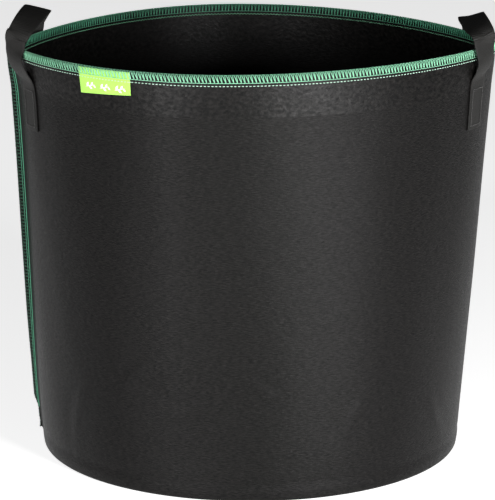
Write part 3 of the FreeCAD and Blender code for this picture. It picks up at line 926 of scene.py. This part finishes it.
def label_profile():
    """Height and stand-off along the ribbon's middle: down the front, round the fold, up the back."""
    front = LABEL_FRONT
    back = LABEL_STAND_OFF + LABEL_LAYER / 2 - 0.2
    radius = (front - back) / 2
    down = np.arange(BAG_HEIGHT - 0.4, LABEL_BOTTOM + radius, -0.8)
    turn = np.linspace(0, np.pi, 9)
    fold_z = LABEL_BOTTOM + radius - radius * np.sin(turn)
    fold_out = (front + back) / 2 + radius * np.cos(turn)
    z = np.concatenate([down, fold_z, down[::-1]])
    out = np.concatenate([np.full(len(down), front), fold_out, np.full(len(down), back)])
    return z, out


def label_shift(a, z):
    """The free flap stands off a little more at its lower corners."""
    drop = smooth((LABEL_AXIS_HEIGHT - z) / 20.0)
    return drop * (0.25 + 0.35 * (a / (LABEL_WIDTH / 2)) ** 2 + 0.15 * np.sin(a / 7.0 + 1.0))


def label_ribbon():
    z, out = label_profile()
    columns = np.linspace(-LABEL_WIDTH / 2, LABEL_WIDTH / 2, 65)
    places = place_at(LABEL_AT + columns, BAG_HEIGHT)
    run_z, run_out = np.gradient(z), np.gradient(out)
    size = np.hypot(run_z, run_out)
    normal_out, normal_z = -run_z / size, run_out / size
    slant = LABEL_SLANT * columns / (LABEL_WIDTH / 2) * smooth((LABEL_AXIS_HEIGHT - z) / 10.0)[:, None]
    grids = []
    for face_side in (1, -1):
        shift = face_side * LABEL_LAYER / 2
        face_z = (z + normal_z * shift)[:, None] + slant
        face_out = (out + normal_out * shift)[:, None] + label_shift(columns[None, :], face_z)
        grids.append(surface(np.broadcast_to(places, face_z.shape), face_z, face_out))
    travelled = path_lengths(np.stack([z, out], -1))
    uv = uv_grid(columns[None, :], travelled[:, None])
    return mesh_object("label_ribbon", *shell(grids[0], grids[1], uv), LABEL_FINISH), float(travelled[-1])


def leaf(cx, cz, angle, length, width):
    """Outline of a pointed leaf."""
    t = np.linspace(0, 1, 13)
    half = width / 2 * np.sin(np.pi * t ** 0.85)
    xs = length * np.concatenate([t, t[-2:0:-1]])
    ys = np.concatenate([half, -half[-2:0:-1]])
    c, s = math.cos(math.radians(angle)), math.sin(math.radians(angle))
    return np.stack([cx + xs * c - ys * s, cz + xs * s + ys * c], -1)


def label_print():
    """Three plain sprigs in white."""
    middle = (LABEL_BOTTOM + LABEL_AXIS_HEIGHT) / 2 + 0.2
    outlines = []
    for cx in (-16.5, 0.0, 16.5):
        outlines.append(leaf(cx - 6.5, middle - 2.2, 14, 15.0, 0.9))
        for i, lean in enumerate((58, -34, 52, -38)):
            outlines.append(leaf(cx - 3.6 + 2.6 * i, middle - 1.45 + 0.62 * i, lean,
                                 length=5.6 - 0.5 * i, width=2.7 - 0.2 * i))
    verts, faces, uvs, first = [], [], [], 0
    for outline in outlines:
        count = len(outline)
        inner = outline.mean(0) + (outline - outline.mean(0)) * 0.5
        flat = np.concatenate([outline, inner, outline.mean(0)[None]])
        places = place_at(LABEL_AT + flat[:, 0], BAG_HEIGHT)
        lift = np.concatenate([np.full(count, -0.03), np.full(count, 0.06), [0.07]])
        lift = lift + LABEL_FRONT + LABEL_LAYER / 2 + label_shift(flat[:, 0], flat[:, 1])
        verts.append(surface(places, flat[:, 1], lift))
        uvs.append(flat)
        for i in range(count):
            j = (i + 1) % count
            faces.append([first + i, first + j, first + count + j, first + count + i])
            faces.append([first + count + i, first + count + j, first + 2 * count])
        first += 2 * count + 1
    return mesh_object("label_print", np.concatenate(verts), faces, np.concatenate(uvs), PRINT_FINISH,
                       rounded=False)


label, label_length = label_ribbon()
sprigs = label_print()
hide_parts("label_flap", "label_sewn_edge")
for piece in (label, sprigs):
    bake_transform(piece)


# --- What rides on the bag -----------------------------------------------------------------------

RIDERS = (
    (wall_piece, "felt", ("wall_panel",)),
    (base_piece, "felt", ("base_panel", "base_turned_edge")),
    (rim_outside, "green_thread", ("rim_overlock_thread",)),
    (rim_inside, "green_thread", ()),
    (rim_needle, "green_thread", ("rim_chain_stitch",)),
    (rim_chain, "green_thread", ()),
    (fin_felt, "felt", ()),
    (fin_overlock, "green_thread", ("side_seam_overlock_thread",)),
    (fin_chain, "green_thread", ("side_seam_chain_stitch",)),
    (base_overlock, "green_thread", ("base_seam_overlock_thread",)),
    (base_chain, "green_thread", ("base_seam_chain_stitch",)),
)
for piece, slot, nodes in RIDERS:
    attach(piece, "bag")
    if nodes:
        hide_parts(*nodes)


# --- Stage, light and camera ---------------------------------------------------------------------

FLOOR_HALF = 14.0
LIGHT_AIM = Vector((0, 0, 0.2))
CAMERA_AT = (-0.0026, -2.8416, 0.916)
CAMERA_PITCH = 14.41          # degrees down from level
CAMERA_LENS = 220.2


def area_light(name, azimuth, distance, height, width, tall, power):
    """Softbox: azimuth 0 is on the camera's side, positive to the right."""
    data = bpy.data.lights.new(name, "AREA")
    data.shape = "RECTANGLE"
    data.size, data.size_y = width, tall
    data.energy = power
    obj = bpy.data.objects.new(name, data)
    angle = math.radians(azimuth)
    obj.location = (distance * math.sin(angle), -distance * math.cos(angle), height)
    obj.rotation_euler = (LIGHT_AIM - obj.location).to_track_quat("-Z", "Y").to_euler()
    bpy.context.scene.collection.objects.link(obj)


def floor():
    half = FLOOR_HALF
    mesh = bpy.data.meshes.new("floor")
    mesh.from_pydata([(-half, -half, 0), (half, -half, 0), (half, half, 0), (-half, half, 0)], [],
                     [(0, 1, 2, 3)])
    finish = Finish("floor", Base_Color=(0.86, 0.86, 0.86, 1), Roughness=0.9, Specular_IOR_Level=0.1,
                    Emission_Color=(1, 1, 1, 1), Emission_Strength=0.72)
    mesh.materials.append(finish.mat)
    obj = bpy.data.objects.new("floor", mesh)
    obj.location.z = -0.0002
    bpy.context.scene.collection.objects.link(obj)


floor()
area_light("softbox_right", azimuth=34, distance=1.7, height=0.48, width=0.42, tall=0.42, power=38)
area_light("softbox_left", azimuth=-32, distance=2.0, height=0.50, width=0.14, tall=0.5, power=28)

world = bpy.data.worlds.new("studio")
world.use_nodes = True
background = world.node_tree.nodes["Background"]
background.inputs["Color"].default_value = (0.95, 0.97, 1.0, 1)
background.inputs["Strength"].default_value = 0.035
bpy.context.scene.world = world
bpy.context.scene.view_settings.view_transform = "Standard"

camera_data = bpy.data.cameras.new("camera")
camera_data.lens = CAMERA_LENS
camera_data.sensor_width = 36.0
camera = bpy.data.objects.new("camera", camera_data)
camera.location = CAMERA_AT
camera.rotation_euler = (math.radians(90 - CAMERA_PITCH), 0, 0)
bpy.context.scene.collection.objects.link(camera)
bpy.context.scene.camera = camera
